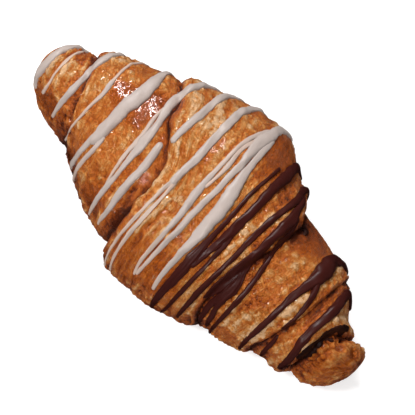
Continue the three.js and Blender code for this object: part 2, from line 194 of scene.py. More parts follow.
def value_noise(points, seed):
    """Smooth noise from -1 to 1 with features about one unit across."""
    base = np.floor(points).astype(np.int64)
    t = points - base
    t = t * t * t * (t * (t * 6 - 15) + 10)
    total = 0.0
    for corner in range(8):
        dx, dy, dz = corner & 1, (corner >> 1) & 1, corner >> 2
        weight = 1.0
        for axis, far in enumerate((dx, dy, dz)):
            weight = weight * (t[..., axis] if far else 1 - t[..., axis])
        total = total + weight * lattice_values(
            base[..., 0] + dx, base[..., 1] + dy, base[..., 2] + dz, seed)
    return total * 2 - 1


def layered_noise(points, seed, octaves=3):
    total, weight, reach = 0.0, 1.0, 0.0
    for octave in range(octaves):
        total = total + weight * value_noise(points * 2.03 ** octave, seed + 17 * octave)
        reach += weight
        weight *= 0.5
    return total / reach


def cells(points, seed):
    """Distance to the nearest and second nearest jittered cell centre, and that cell's value."""
    base = np.floor(points).astype(np.int64)
    shape = points.shape[:-1]
    nearest = np.full(shape, 9.0)
    second = np.full(shape, 9.0)
    value = np.zeros(shape)
    for offset in np.ndindex(3, 3, 3):
        ix, iy, iz = (base[..., axis] + offset[axis] - 1 for axis in range(3))
        gap = 0.0
        for axis, index in enumerate((ix, iy, iz)):
            centre = index + lattice_values(ix, iy, iz, seed + axis)
            gap = gap + (points[..., axis] - centre) ** 2
        gap = np.sqrt(gap)
        closer = gap < nearest
        second = np.where(closer, nearest, np.minimum(second, gap))
        value = np.where(closer, lattice_values(ix, iy, iz, seed + 7), value)
        nearest = np.where(closer, gap, nearest)
    return nearest, second, value


# ---------------------------------------------------------------- the pastry
COLUMNS = 280
ROW_SPACING = 0.62
LIP_ROWS = 12
CAP_ROWS = 14
START_ANGLE = 270


def crust_rows(angles):
    """Rings of places along the roll, one array over the angles for each, denser over lips."""
    rows = []
    ends = [(lambda a: np.full_like(a, -HALF_LENGTH), WHITE_CAP, None)]
    ends += [(lambda a, seam=seam: seam_x(seam, a), seam["lip"], seam) for seam in SEAMS]
    ends += [(lambda a: np.full_like(a, HALF_LENGTH), DARK_CAP, None)]
    rounds = np.linspace(0, math.pi / 2, LIP_ROWS + 1)[:-1]
    caps = np.linspace(0, math.pi / 2, CAP_ROWS + 1)[1:-1]
    for (low_at, low_lip, low_seam), (high_at, high_lip, high_seam) in zip(ends, ends[1:]):
        low, high = low_at(angles), high_at(angles)
        lead = low_lip if low_seam is None or low_seam["inward"] > 0 else 0
        trail = high_lip if high_seam is None or high_seam["inward"] < 0 else 0
        if low_seam is None:
            rows += [low + lead * (1 - math.cos(t)) for t in caps]
        elif lead:
            rows += [low + lead * (1 - math.cos(t)) for t in rounds]
        start, stop = low + lead, high - trail
        parts = max(int(np.max(stop - start) / ROW_SPACING), 2)
        for k in range(parts):
            rows.append(start + (stop - start) * k / parts)
        if trail:
            if high_seam is None:
                rows += [high - trail * (1 - math.cos(t)) for t in caps[::-1]]
            else:
                rows.append(stop)
                rows += [high - trail * (1 - math.cos(t)) for t in rounds[:0:-1]]
    return np.array(rows)


# For each seam in turn: how far the lip overhangs, the depth of the groove beside it, the reach
# and height of its flakes, the number of layers in its wall, and how clearly sheets show on it.
SEAM_LOOKS = [
    {"undercut": 0.5, "groove": 0.3, "flakes": 7.0, "flake_height": 0.22, "layers": 2.5,
     "sheets": 0.3},
    {"undercut": 1.2, "groove": 1.0, "flakes": 13.0, "flake_height": 0.42, "layers": 4.0,
     "sheets": 1.0},
    {"undercut": 0.8, "groove": 0.9, "flakes": 6.0, "flake_height": 0.28, "layers": 3.0,
     "sheets": 0.5},
    {"undercut": 0.5, "groove": 0.7, "flakes": 8.0, "flake_height": 0.34, "layers": 2.5,
     "sheets": 0.5},
    {"undercut": 0.7, "groove": 1.3, "flakes": 5.0, "flake_height": 0.3, "layers": 2.5,
     "sheets": 0.6},
]
FLAKE_SPACING = 2.9
# The underside rounds into its flat base over the first, and relief as high as the second counts
# as full in the painted light and shade of the crust's colour, both in millimetres.
CONTACT_ROUND = 0.4
RELIEF_REACH = 0.6

# Smooth shiny spots, and pale torn ones: x in millimetres, angle in degrees, reach in millimetres.
GLAZED_SPOTS = [(9, 32, 10), (10, 150, 11), (1, 156, 11), (-8, 150, 7), (-61, 138, 5),
                (-31, 74, 6), (36, 44, 9), (-42, 84, 5), (-33, 88, 6), (-33, 70, 4),
                (-24, 158, 7), (-40, 166, 7)]
TORN_SPOTS = [(43.5, 148, 6.5), (51, 37, 5.5), (47, 131, 3.5), (54, 112, 4), (50, 137, 4),
              (-13, 60, 6), (-63, 92, 4)]


def roll_place(x, angle):
    """A place along the roll that is constant along each seam."""
    edges = [np.full_like(x, -HALF_LENGTH)]
    edges += [seam_x(seam, angle) for seam in SEAMS]
    edges += [np.full_like(x, HALF_LENGTH)]
    means = [-HALF_LENGTH] + [float(seam_x(seam, 100.0)) for seam in SEAMS] + [HALF_LENGTH]
    result = np.zeros_like(x)
    for low, high, low_mean, high_mean in zip(edges, edges[1:], means, means[1:]):
        share = (x - low) / (high - low)
        inside = (share >= 0) & (share <= 1)
        result = np.where(inside, low_mean + share * (high_mean - low_mean), result)
    return result


def seam_detail(x, angle, place, looks):
    """Overhanging lips, torn sheet edges and the grooves beside them."""
    lift = np.zeros_like(x)
    slide = np.zeros_like(x)
    for number, (seam, look) in enumerate(zip(SEAMS, SEAM_LOOKS)):
        beyond = (x - seam_x(seam, angle)) * seam["inward"]
        strength = 1 + seam["skew"] * np.cos(np.radians(angle))
        t = np.clip(beyond / seam["lip"], 0, 1)
        rounded = np.sqrt(1 - (1 - t) ** 2)
        on_lip = (beyond >= 0) & (t < 1)
        bulge = np.where(on_lip, 2 * rounded * np.sqrt(1 - rounded ** 2), 0)
        ragged = 1 + 0.7 * value_noise(place / 4.0, 11 + number)
        slide -= seam["inward"] * look["undercut"] * strength * bulge * ragged

        wall = np.arcsin(np.clip(rounded, 0, 1)) / (math.pi / 2)
        drift = value_noise(place / np.array([3.0, 7.0, 7.0]), 23 + number)
        layered = np.sin(2 * math.pi * look["layers"] * wall + 2.4 * drift)
        lift += np.where(on_lip, 0.22 * layered * np.sin(math.pi * wall) * strength, 0)
        lift -= look["groove"] * strength * np.exp(-np.abs(beyond) / 1.1) * (beyond < 1.5)
        # Painted shade: the crust's colour is darkened along each seam, fading over the turn below
        # and up the foot of the lip.
        outside = np.exp(-np.clip(-beyond, 0, None) / 2.2)
        inside = np.exp(-np.clip(beyond, 0, None) / (0.25 * seam["lip"]))
        looks["seam"] = np.maximum(looks["seam"], outside * inside)

        warp = 2.3 * value_noise(place / 8.0, 31 + number)
        warp = warp + 0.7 * value_noise(place / 2.6, 41 + number)
        saw = np.mod((beyond - 0.55 * seam["lip"] + warp) / FLAKE_SPACING, 1)
        here = np.exp(-np.clip(beyond - seam["lip"], 0, None) / look["flakes"]) * (beyond > 0)
        patch = smoothstep(-0.35, 0.25, value_noise(place / 7.0, 51 + number))
        lift += look["flake_height"] * (saw - 0.5) * here * patch
        looks["pale"] += 0.8 * here * patch * smoothstep(0.45, 0.95, saw)
        looks["layers"] = np.maximum(looks["layers"], here * look["sheets"])
    return lift, slide


def spot_cover(spots, x, angle, radius, place):
    """How much each point of the crust lies in one of the spots, with a wavering edge."""
    cover = np.zeros_like(x)
    waver = 1 + 0.35 * layered_noise(place / 3.0, 101, 2)
    for spot_x, spot_angle, reach in spots:
        round_gap = np.radians(np.mod(angle - spot_angle + 180, 360) - 180) * radius
        gap = np.hypot(x - spot_x, round_gap) / reach
        cover = np.maximum(cover, 1 - smoothstep(0.7, 1.1, gap * waver))
    return cover


# How far each kind of relief stands off the crust, in millimetres.
UNEVEN_HEIGHT, SWELLING_HEIGHT = 0.6, 0.28
GRAIN_HEIGHT, SHEET_HEIGHT, STRATA_HEIGHT = 0.34, 0.3, 0.5
BLISTER_HEIGHT, FINE_BLISTER_HEIGHT = 0.55, 0.34
CRUMPLE_HEIGHT, CRACK_DEPTH, TORN_DEPTH = 0.42, 0.22, 0.35
NUB_LUMP_HEIGHT, NUB_CRUMPLE_HEIGHT, NUB_FOLD_DEPTH = 1.1, 0.7, 1.7
BLISTER_SPACING, FINE_BLISTER_SPACING = 3.1, 1.6
# The crust is darkened fully below the first height and not at all above the second.
DARKENING_LOW, DARKENING_HIGH = 8, 38


def crust_surface(x, angle):
    """Points of the detailed crust, in millimetres, and what each point looks like."""
    turn = np.radians(angle)
    cap = cap_factor(x)
    axis_y, axis_z = axis_point(x)
    plain = (bare_radius(x, angle) + turn_offset(x, angle)) * cap
    place = np.stack([x, axis_y + plain * np.cos(turn), axis_z + plain * np.sin(turn)], -1)
    looks = {name: np.zeros_like(x) for name in ("seam", "pale", "layers")}
    lift, slide = seam_detail(x, angle, place, looks)

    nub = smoothstep(0, 3, x - seam_x(SEAMS[-1], angle))
    glazed = spot_cover(GLAZED_SPOTS, x, angle, plain, place)
    torn = spot_cover(TORN_SPOTS, x, angle, plain, place)
    lift += UNEVEN_HEIGHT * layered_noise(place / 12.0, 61)
    lift += SWELLING_HEIGHT * value_noise(place / 5.0, 62)

    broad_lift = lift.copy()
    grain_place = place.copy()
    grain_place[..., 0] = roll_place(x, angle)
    grain = layered_noise(grain_place / np.array([1.6, 9.0, 9.0]), 71, 2)
    sheets = layered_noise(grain_place / np.array([4.5, 16.0, 16.0]), 73, 2)
    flaky = smoothstep(-0.3, 0.35, layered_noise(place / 13.0, 75, 2))
    flaky = flaky * (1 - glazed)
    flaky = np.maximum(flaky, torn)
    lift += GRAIN_HEIGHT * grain * (0.3 + flaky)
    lift += SHEET_HEIGHT * sheets * (1 - 0.6 * glazed)
    strata = 1 - 2 * np.abs(layered_noise(grain_place / np.array([2.4, 22.0, 22.0]), 79, 2))
    lift += STRATA_HEIGHT * strata * looks["layers"]

    near, second, value = cells(place / BLISTER_SPACING, 81)
    dome = np.clip(1 - (near / 0.62) ** 2, 0, 1) * smoothstep(0.35, 0.8, value)
    fine_near, _, fine_value = cells(place / FINE_BLISTER_SPACING, 91)
    fine_dome = np.clip(1 - (fine_near / 0.6) ** 2, 0, 1) * smoothstep(0.3, 0.9, fine_value)
    blistered = smoothstep(-0.4, 0.3, value_noise(place / 9.0, 77)) * (1 - 0.85 * glazed)
    crack = np.exp(-((second - near) / 0.1) ** 2)
    bend = 1.3 * np.stack([value_noise(place / 3.5, 111 + axis) for axis in range(3)], -1)
    crumple = 1 - np.abs(layered_noise((place + bend) / 2.1, 97, 2))
    lift += (BLISTER_HEIGHT * dome + FINE_BLISTER_HEIGHT * fine_dome) * (0.2 + blistered)
    lift -= CRACK_DEPTH * crack * flaky
    crumpled = (0.45 + 0.55 * np.clip(flaky + nub, 0, 1)) * (1 - 0.6 * glazed)
    lift += CRUMPLE_HEIGHT * (crumple ** 3 - 0.4) * crumpled
    lumps = NUB_LUMP_HEIGHT * layered_noise(place / 3.4, 95, 3)
    lift += nub * (lumps + NUB_CRUMPLE_HEIGHT * (crumple ** 4 - 0.4))
    folds = 1 - np.abs(value_noise(place / np.array([5.0, 7.0, 7.0]), 103))
    lift -= NUB_FOLD_DEPTH * nub * smoothstep(0.86, 1.0, folds)
    lift -= TORN_DEPTH * torn * smoothstep(-0.1, 0.1, value_noise(place / 2.4, 99))

    # Painted light and shade: relief above the broad surface makes the crust paler, hollows make it
    # darker.
    looks["relief_shading"] = np.clip((lift - broad_lift) / RELIEF_REACH, -1, 1)
    looks["along"] = grain_place[..., 0] / HALF_LENGTH
    looks["glaze"] = glazed
    looks["nub"] = nub
    # Partly the blisters' own paler bake and partly painted light and shade: paler on raised
    # blisters, grain, crumples and sheet ridges, darker in the cracks.
    looks["blister_tone_and_shade"] = 0.7 * dome * (0.2 + blistered) + 0.6 * fine_dome * (0.15 + blistered)
    looks["blister_tone_and_shade"] += 0.5 * grain * (0.3 + flaky) - 0.6 * crack * flaky
    looks["blister_tone_and_shade"] += 0.6 * (crumple - 0.75) * (0.3 + flaky) + 0.6 * strata * looks["layers"]
    looks["pale"] = np.clip(looks["pale"], 0, 1.2) + 0.4 * flaky * smoothstep(0.0, 0.5, grain)
    looks["pale"] += 0.8 * torn
    radius = plain + lift * np.sqrt(np.clip(cap, 0, 1))
    y = axis_y + radius * np.cos(turn)
    z = axis_z + radius * np.sin(turn)
    # Towards either end the crust is darkened less.
    ends = smoothstep(30, 50, x) + smoothstep(46, 60, -x)
    looks["low_darkening"] = (1 - smoothstep(DARKENING_LOW, DARKENING_HIGH, z)) * (1 - 0.6 * ends)
    z = CONTACT_ROUND * np.logaddexp(0, z / CONTACT_ROUND)
    return np.stack([x + slide, y, z], -1), looks


def new_piece(name, points, faces):
    """A mesh object from points in millimetres, riding on the object."""
    mesh = bpy.data.meshes.new(name)
    mesh.from_pydata((np.asarray(points) * MM).tolist(), [], faces)
    mesh.polygons.foreach_set("use_smooth", [True] * len(mesh.polygons))
    mesh.update()
    piece = bpy.data.objects.new(name, mesh)
    bpy.context.scene.collection.objects.link(piece)
    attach(piece, "root")
    return piece


def add_looks(piece, looks):
    for name, values in looks.items():
        layer = piece.data.attributes.new(name, "FLOAT", "POINT")
        layer.data.foreach_set("value", np.clip(values, -1, 2).astype(np.float32))


def grid_faces(rows, columns):
    """Quads over a grid that closes round, then a fan at each end, poles first and last."""
    k = np.arange(columns)
    after = (k + 1) % columns
    low = 1 + columns * np.arange(rows - 1)[:, None]
    quads = np.stack([low + k, low + after, low + columns + after, low + columns + k], -1)
    faces = quads.reshape(-1, 4).tolist()
    last = 1 + columns * (rows - 1)
    faces += [[0, 1 + int(b), 1 + int(a)] for a, b in zip(k, after)]
    faces += [[last + columns, last + int(a), last + int(b)] for a, b in zip(k, after)]
    return faces


def pole_point(x):
    y, z = axis_point(np.array([x]))
    return [x, float(y[0]), float(z[0])]


BAKE_MARGIN = 0.004


def add_bake_map(mesh, rows, columns, row_reach):
    """One clean rectangle of texture for the whole crust, cut along the underside."""
    layer = mesh.uv_layers.new(name="OFBake")
    count = len(mesh.loops)
    vertex = np.empty(count, int)
    mesh.loops.foreach_get("vertex_index", vertex)
    grid = np.clip(vertex - 1, 0, rows * columns - 1)
    v = row_reach[grid // columns]
    v = np.where(vertex == 0, 0.0, np.where(vertex == rows * columns + 1, 1.0, v))
    column = (grid % columns).astype(float)
    starts = np.empty(len(mesh.polygons), int)
    totals = np.empty(len(mesh.polygons), int)
    mesh.polygons.foreach_get("loop_start", starts)
    mesh.polygons.foreach_get("loop_total", totals)
    face = np.repeat(np.arange(len(starts)), totals)
    is_pole = (vertex == 0) | (vertex == rows * columns + 1)
    highest = np.zeros(len(starts))
    np.maximum.at(highest, face, np.where(is_pole, 0, column))
    wraps = (highest[face] == columns - 1) & (column == 0) & ~is_pole
    column = np.where(wraps, columns, column)
    column = np.where(is_pole, highest[face] - 0.5, column)
    uv = BAKE_MARGIN + (1 - 2 * BAKE_MARGIN) * np.stack([column / columns, v], -1)
    layer.data.foreach_set("uv", uv.astype(np.float32).ravel())


def make_pastry():
    angles = START_ANGLE + 360 * np.arange(COLUMNS) / COLUMNS
    x = crust_rows(angles)
    angle = np.broadcast_to(angles, x.shape)
    points, looks = crust_surface(x, angle)
    rows = len(x)
    middle_y = (PASTRY_LOW[1] + PASTRY_HIGH[1]) / 2
    made_y = (points[..., 1].min() + points[..., 1].max()) / 2
    shift = np.array([0, middle_y - made_y, 0])
    flat = np.concatenate([
        [pole_point(-HALF_LENGTH)], points.reshape(-1, 3), [pole_point(HALF_LENGTH)]])
    pastry = new_piece("baked_crust", flat + shift, grid_faces(rows, COLUMNS))
    ends = {name: np.concatenate([[v[0, 0]], v.ravel(), [v[-1, 0]]]) for name, v in looks.items()}
    add_looks(pastry, ends)
    steps = np.linalg.norm(np.diff(points[:, ::20], axis=0), axis=-1).mean(1)
    reach = np.concatenate([[0], np.cumsum(np.maximum(steps, 0.1))])
    add_bake_map(pastry.data, rows, COLUMNS, (reach + 1) / (reach[-1] + 2))
    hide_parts("pastry")
    return pastry, shift


pastry, SHIFT = make_pastry()

# ---------------------------------------------------------------- the drizzle
# Each strand is one or more routes that flowed together. A route is a list of places on the
# crust: x in millimetres, angle in degrees, width in millimetres.
WHITE_STRANDS = {
    "white_strand_1": [
        [(-67.5, 46, 1.6), (-70.4, 63, 2.4), (-71.3, 80, 3), (-71.3, 100, 3.5), (-71.4, 119, 3.4),
         (-71.3, 133, 2.4), (-70, 142, 1.5)],
    ],
    "white_strand_2": [
        [(-67.3, 60, 1), (-66.9, 84, 1.2), (-66, 102, 1), (-65, 120, 1), (-65.3, 133, 1.5)],
    ],
    "white_strand_3": [
        [(-59.5, 14, 1.6), (-58.2, 34, 2), (-57.8, 50, 2.4), (-57.9, 70, 3.2), (-57.8, 84, 2.8),
         (-57.2, 92, 2.1), (-56.7, 104, 2.4), (-56.5, 116, 2.3), (-57, 140, 1.6),
         (-57.7, 152, 1.2)],
    ],
    "white_strand_4": [
        [(-50.5, 14, 1), (-50.7, 40, 1), (-50.4, 62, 1), (-48.7, 79, 1.1), (-47.8, 87, 1.8),
         (-46.9, 96, 1.7), (-46.8, 107, 1.2), (-46.8, 122, 1), (-47.6, 138, 0.9),
         (-49.3, 168, 0.9)],
    ],
    "white_strand_5": [
        [(-40.5, 8, 1.8), (-41.8, 30, 2.4), (-40.2, 52, 3.5), (-38.3, 66, 5), (-37.6, 78, 5.8),
         (-37.6, 92, 5.5), (-36.7, 106, 5), (-36.6, 118, 4.6), (-36.4, 130, 3.2)],
        [(-37.4, 122, 2.6), (-38.2, 140, 2.3), (-39, 154, 2.2), (-40.5, 176, 1.4)],
        [(-35, 118, 2), (-34.4, 130, 1.7), (-34.9, 142, 1.6), (-35.6, 156, 1.5), (-37, 180, 1)],
    ],
    "white_strand_6": [
        [(-25, 8, 1.8), (-27.8, 28, 2.4), (-28.6, 40, 2.9), (-29.3, 50, 3.1), (-29, 60, 3.6),
         (-28.2, 68, 3.4), (-26.6, 77, 2.8), (-24.8, 87, 2.6), (-23.8, 95, 3.4), (-23.3, 103, 3.8),
         (-22.6, 113, 2.9), (-22.1, 122, 2.1), (-21.7, 131, 1.6), (-21.8, 143, 2.1),
         (-22.1, 160, 1.6), (-23, 176, 1)],
        [(-29.2, 64, 1.2), (-28.7, 73, 1), (-28.1, 81, 1.3), (-26.9, 89, 1.6), (-25.6, 99, 1.5),
         (-24.9, 114, 1.5), (-24, 124, 1.3), (-23.2, 134, 1), (-22.4, 142, 1)],
    ],
    "white_strand_7": [
        [(-17, 4, 1.6), (-19.5, 20, 2.2), (-20.4, 34, 2.8), (-18.9, 53, 2.9), (-17.7, 66, 2.9),
         (-17.1, 77, 2.8), (-16.6, 85, 2.4), (-16, 91, 2.1)],
    ],
    "white_strand_8": [
        [(-19.1, 94, 2), (-17.6, 105, 2.8), (-16.6, 117, 2.9), (-16.4, 129, 2.9), (-16.1, 139, 2.7),
         (-15.7, 148, 2.1), (-16.2, 158, 1.6), (-16.8, 168, 0.9)],
    ],
    "white_strand_9": [
        [(-8.5, 0, 1.6), (-11.5, 20, 2.4), (-11.6, 36, 3), (-10, 52, 3.2), (-8.7, 63, 3),
         (-7.4, 75, 2.9), (-6.2, 88, 2.9), (-5.7, 100, 2.7), (-4.9, 110, 2.3)],
        [(-5.3, 106, 1.6), (-5.5, 117, 1.3), (-5.3, 140, 1.2), (-5.6, 158, 1), (-6, 180, 0.9)],
        [(-4.5, 106, 1.4), (-3.8, 116, 1.1), (-3.4, 130, 1.4), (-3.2, 144, 1.5), (-2.9, 158, 1),
         (-3, 178, 0.9)],
    ],
    "white_strand_10": [
        [(2.5, 4, 2), (0, 20, 3), (0.8, 32, 4.2), (1.6, 42, 4.5), (2.8, 55, 3.3), (4.6, 65, 2.5),
         (5.3, 76, 2.3), (6.3, 87, 2.2), (6.9, 102, 2.3), (7.3, 112, 2.3), (8, 121, 2.1),
         (7.9, 133, 1.8), (7.6, 147, 1.5), (6.9, 160, 1.1)],
        [(2.4, 34, 3), (4.9, 48, 2.5), (6.3, 57, 2.3), (7.8, 67, 3.1), (9.7, 77, 4.6),
         (11.5, 87, 5), (12.8, 97, 4.7), (13.5, 107, 4.4), (14, 118, 3.5), (14, 132, 2.3),
         (14, 146, 1.8), (14.3, 160, 1.3)],
        [(-0.6, 30, 1.8), (-1.4, 48, 1.6), (-0.9, 60, 1.5), (0.3, 74, 1.5), (1.6, 91, 2),
         (2.6, 101, 2.7), (4.1, 112, 2.4), (5.1, 122, 1.9), (5.6, 132, 1.6), (5.5, 147, 1.4),
         (6.2, 162, 1)],
        [(0.4, 46, 1.4), (0.2, 57, 1.4), (0.9, 64, 1.4), (2.1, 72, 1.7), (2.9, 82, 1.3),
         (3, 95, 1.2)],
    ],
}
DARK_STRANDS = {
    "dark_strand_1": [
        [(15, 0, 2), (12.6, 10, 3.4), (13.2, 20, 4), (15.6, 37, 4.2), (16.6, 49, 3.8),
         (17.9, 61, 3.4), (19, 73, 3.4), (19.7, 85, 3.3), (20, 95, 3.6), (20.1, 105, 3),
         (19.8, 118, 2.4), (19.4, 130, 1.8)],
        [(11.7, 36, 1.3), (12.8, 47, 1.3), (14.2, 68, 1.5), (15.8, 84, 1.6), (16.8, 97, 1.7),
         (17.2, 107, 2), (17.6, 117, 3), (17.9, 127, 4), (17.9, 138, 3.8), (17.4, 154, 2.8),
         (16.2, 172, 2), (15, 186, 1.4)],
        [(20.3, 92, 1.8), (21.8, 104, 1.8), (22.4, 117, 1.5), (22.6, 134, 1.7), (22, 152, 1.6),
         (20.4, 172, 1.2), (18.4, 186, 0.8)],
    ],
    "dark_strand_2": [
        [(22, 0, 2), (20.8, 18, 3), (23, 32, 2.7), (24.5, 46, 2.6), (25.1, 66, 2.4),
         (26, 88, 2.3), (26.8, 104, 1.9), (26.9, 122, 2), (26.4, 143, 2.1), (25.8, 158, 1.7),
         (24.4, 178, 1.1)],
        [(22.6, 26, 2.2), (25.3, 34, 2.4), (27.3, 46, 2.7), (28.6, 53, 4), (29.5, 63, 4),
         (29.9, 75, 3.5), (30.4, 86, 2.8), (30.8, 97, 2.3), (31.4, 108, 2.4), (32.6, 117, 3.4),
         (33.1, 126, 4.4), (32.7, 138, 4), (32.4, 146, 2.6)],
        [(32.2, 134, 2.4), (31.2, 146, 2.4), (30.8, 160, 2.2), (30, 182, 1.3)],
        [(33, 134, 2.4), (33.4, 146, 2.3), (33.7, 158, 2), (33.2, 178, 1.2)],
        [(30, 90, 1.6), (30.5, 100, 2.5), (30.5, 114, 3.2), (30.1, 127, 3.8), (29.3, 137, 2.4),
         (28.7, 145, 1)],
        [(29.2, 48, 1.5), (31.4, 57, 1.5), (32.2, 68, 1.6), (32.9, 79, 1.5), (34.4, 91, 1.8),
         (36, 107, 2), (37.1, 124, 2), (37.2, 138, 1.9), (36.8, 153, 1.6), (35.6, 174, 1.3),
         (34.8, 188, 1.1)],
    ],
    "dark_strand_3": [
        [(51, 2, 2.2), (48.3, 16, 3.8), (46.4, 32, 5.2), (47.6, 50, 6.3), (48.8, 68, 5.4),
         (48.6, 82, 3.6), (48.3, 96, 2.9), (48.4, 112, 2.5), (48.4, 130, 2.4), (47.8, 145, 2.1),
         (46.8, 165, 1.7), (46, 184, 1.2)],
        [(49.2, 68, 2.6), (52, 82, 2.1), (53.4, 95, 1.9), (53.9, 108, 1.5), (53.8, 120, 1.3),
         (53.4, 129, 1.1)],
    ],
    "dark_strand_4": [
        [(53.7, 136, 1.3), (53.8, 149, 1.7), (53.4, 162, 1.7), (52.6, 184, 1.1)],
    ],
    "dark_strand_5": [
        [(61, 4, 2), (57.6, 20, 3.2), (57.6, 36, 3.9), (59.2, 58, 4), (60.3, 79, 3.5),
         (60.3, 98, 3.3), (60.9, 114, 3.1), (61.6, 130, 2.8), (61.5, 148, 2.5), (60.8, 166, 2.1),
         (60.4, 184, 2.3)],
    ],
}
FILLING_LEAKS = {
    "filling_leak_1": [
        [(66.8, 42, 1.1), (65.9, 57, 1.8), (64.8, 68, 1.3), (64.1, 82, 1.4), (64.3, 96, 2.4),
         (64.4, 110, 3.2), (64, 124, 2.2), (63.4, 134, 1.2)],
        [(64.5, 86, 1.2), (65.6, 80, 1), (67.2, 77, 1.3)],
    ],
    "filling_leak_2": [
        [(30.8, 40, 1.2), (32.3, 37, 2.1), (33.6, 40, 1.8), (34.4, 45, 1.1)],
    ],
}
STRAND_SPACING = 0.6
SECTION_STEPS = 12
UNDERSIDE = [0.8, 0.3, -0.3, -0.8]
# How deep a strand's underside and its edges sink into the crust, and how far its top clears it.
SINK, EDGE_SINK, CLEARANCE = 0.7, 0.3, 0.12
# A strand rises by its flatness times its width, up to a limit that grows with the width.
RISE_LIMIT, RISE_LIMIT_PER_WIDTH = 0.55, 0.22
DOME_POWER = 0.8
EASING_STEPS = 1.6
OUTSIDE_CRUST = 60
EDGE_WAVER, EDGE_ROUGHNESS = 0.13, 0.07
ICING_FLATNESS, CHOCOLATE_FLATNESS, FILLING_FLATNESS = 0.3, 0.36, 0.3
CHOCOLATE_RIDGES, FILLING_LUMPS = 0.45, 0.35
STRIP_SIDE_MARGIN, STRIP_END_MARGIN = 0.03, 0.01


def smooth_point(x, angle):
    """A point of the crust without its fine detail or its turns' steps."""
    turn = np.radians(angle)
    axis_y, axis_z = axis_point(x)
    radius = bare_radius(x, angle) * cap_factor(x)
    return np.stack([x, axis_y + radius * np.cos(turn), axis_z + radius * np.sin(turn)], -1)


def crust_radius(crust, x, angle):
    """How far the detailed crust reaches from the axis at each place, seen from outside."""
    axis_y, axis_z = axis_point(x)
    turn = np.radians(angle)
    reach = np.empty(x.shape)
    for i in np.ndindex(*x.shape):
        out = Vector((0, math.cos(turn[i]), math.sin(turn[i])))
        middle = Vector((x[i], axis_y[i] + SHIFT[1], axis_z[i]))
        hit = crust.ray_cast(middle + out * OUTSIDE_CRUST, -out)[0]
        reach[i] = np.nan if hit is None else (hit - middle).dot(out)
    return reach


def smoothed(values, reach):
    """Values along the first axis, averaged over a bell of the given reach in steps."""
    span = int(math.ceil(3 * reach))
    weights = np.exp(-0.5 * (np.arange(-span, span + 1) / reach) ** 2)
    padded = np.pad(values, ((span, span), (0, 0)), mode="edge")
    rows = [w * padded[i:i + len(values)] for i, w in enumerate(weights)]
    return sum(rows) / weights.sum()


def strand_line(route):
    """Closely and evenly spaced places, angles and widths along a route."""
    route = np.array(route, float)
    knots = smooth_point(route[:, 0], route[:, 1])
    reach = np.concatenate([[0], np.cumsum(np.linalg.norm(np.diff(knots, axis=0), axis=1))])
    count = max(int(reach[-1] / STRAND_SPACING), 8)
    at = np.linspace(0, reach[-1], count + 1)
    return at, [cubic_table(reach, route[:, k], at) for k in range(3)]


def strand_rings(crust, route, seed, flatness, lumps, ridges):
    """Rings of points of one strand laid over the crust, in millimetres."""
    at, (x, angle, width) = strand_line(route)
    step = 0.05
    along_x = (smooth_point(x + step, angle) - smooth_point(x - step, angle)) / (2 * step)
    around = (smooth_point(x, angle + step) - smooth_point(x, angle - step)) / (2 * step)
    normal = np.cross(around, along_x)
    normal /= np.linalg.norm(normal, axis=-1, keepdims=True)
    run = np.gradient(smooth_point(x, angle), axis=0)
    side = np.cross(normal, run)
    side /= np.linalg.norm(side, axis=-1, keepdims=True)
    xx, aa = (along_x ** 2).sum(-1), (around ** 2).sum(-1)
    xa = (along_x * around).sum(-1)
    scale = xx * aa - xa * xa
    across_x, across_a = (side * along_x).sum(-1), (side * around).sum(-1)
    per_x = (across_x * aa - across_a * xa) / scale
    per_angle = (across_a * xx - across_x * xa) / scale

    half = width / 2
    ends = np.minimum(at, at[-1] - at) / np.maximum(half, 0.6)
    swell = np.sqrt(np.clip(1 - (1 - np.clip(ends, 0, 1)) ** 2, 0.02, 1))
    trail = np.stack([at, np.zeros_like(at), np.full_like(at, seed)], -1)
    edges = []
    for offset in (0.0, 40.0):
        wobble = EDGE_WAVER * value_noise(trail / 2.6 + offset, 201)
        wobble += (EDGE_ROUGHNESS + lumps) * value_noise(trail / 1.1 + offset, 203)
        edges.append(half * swell * (1 + wobble))
    phi = np.linspace(0, math.pi, SECTION_STEPS + 1)
    q = np.concatenate([-np.cos(phi), UNDERSIDE])
    dome = np.concatenate([np.sin(phi) ** DOME_POWER, np.zeros(len(UNDERSIDE))])
    reach = np.where(q < 0, edges[0][:, None], edges[1][:, None]) * q
    ring_x = x[:, None] + reach * per_x[:, None]
    ring_angle = angle[:, None] + reach * per_angle[:, None]

    radius = crust_radius(crust, ring_x, ring_angle)
    known = np.where(np.isnan(radius), np.nanmean(radius), radius)
    eased = smoothed(known, EASING_STEPS)
    eased = np.maximum(eased, known - CLEARANCE * 2)
    axis_y, axis_z = axis_point(ring_x)
    turn = np.radians(ring_angle)
    points = np.stack([ring_x, axis_y + SHIFT[1] + eased * np.cos(turn),
                       axis_z + eased * np.sin(turn)], -1)
    limit = RISE_LIMIT + RISE_LIMIT_PER_WIDTH * width
    rise = np.minimum(width * flatness, limit) * swell
    rise *= 1 + 0.18 * value_noise(trail / 4.5 + 9.0, 205)
    ribbed = ridges * smoothstep(88, 112, angle) * smoothstep(1.8, 3.0, width)
    drift = value_noise(trail / 6.0, 207)[:, None]
    ribs = 0.5 + 0.5 * np.cos(2 * math.pi * (1.6 * q + 0.5 * drift))
    lumpy = 1 + 2.2 * lumps * value_noise(trail / 1.3 + 3.0, 209)
    height = dome * (rise * lumpy)[:, None] * (1 - ribbed[:, None] * ribs)
    height += np.where(dome > 0.3, CLEARANCE, 0)
    below = np.arange(len(q)) > SECTION_STEPS
    height = np.where(below, -SINK, height)
    height[:, [0, SECTION_STEPS]] = -EDGE_SINK
    points = points + normal[:, None] * height[..., None]
    return points, width


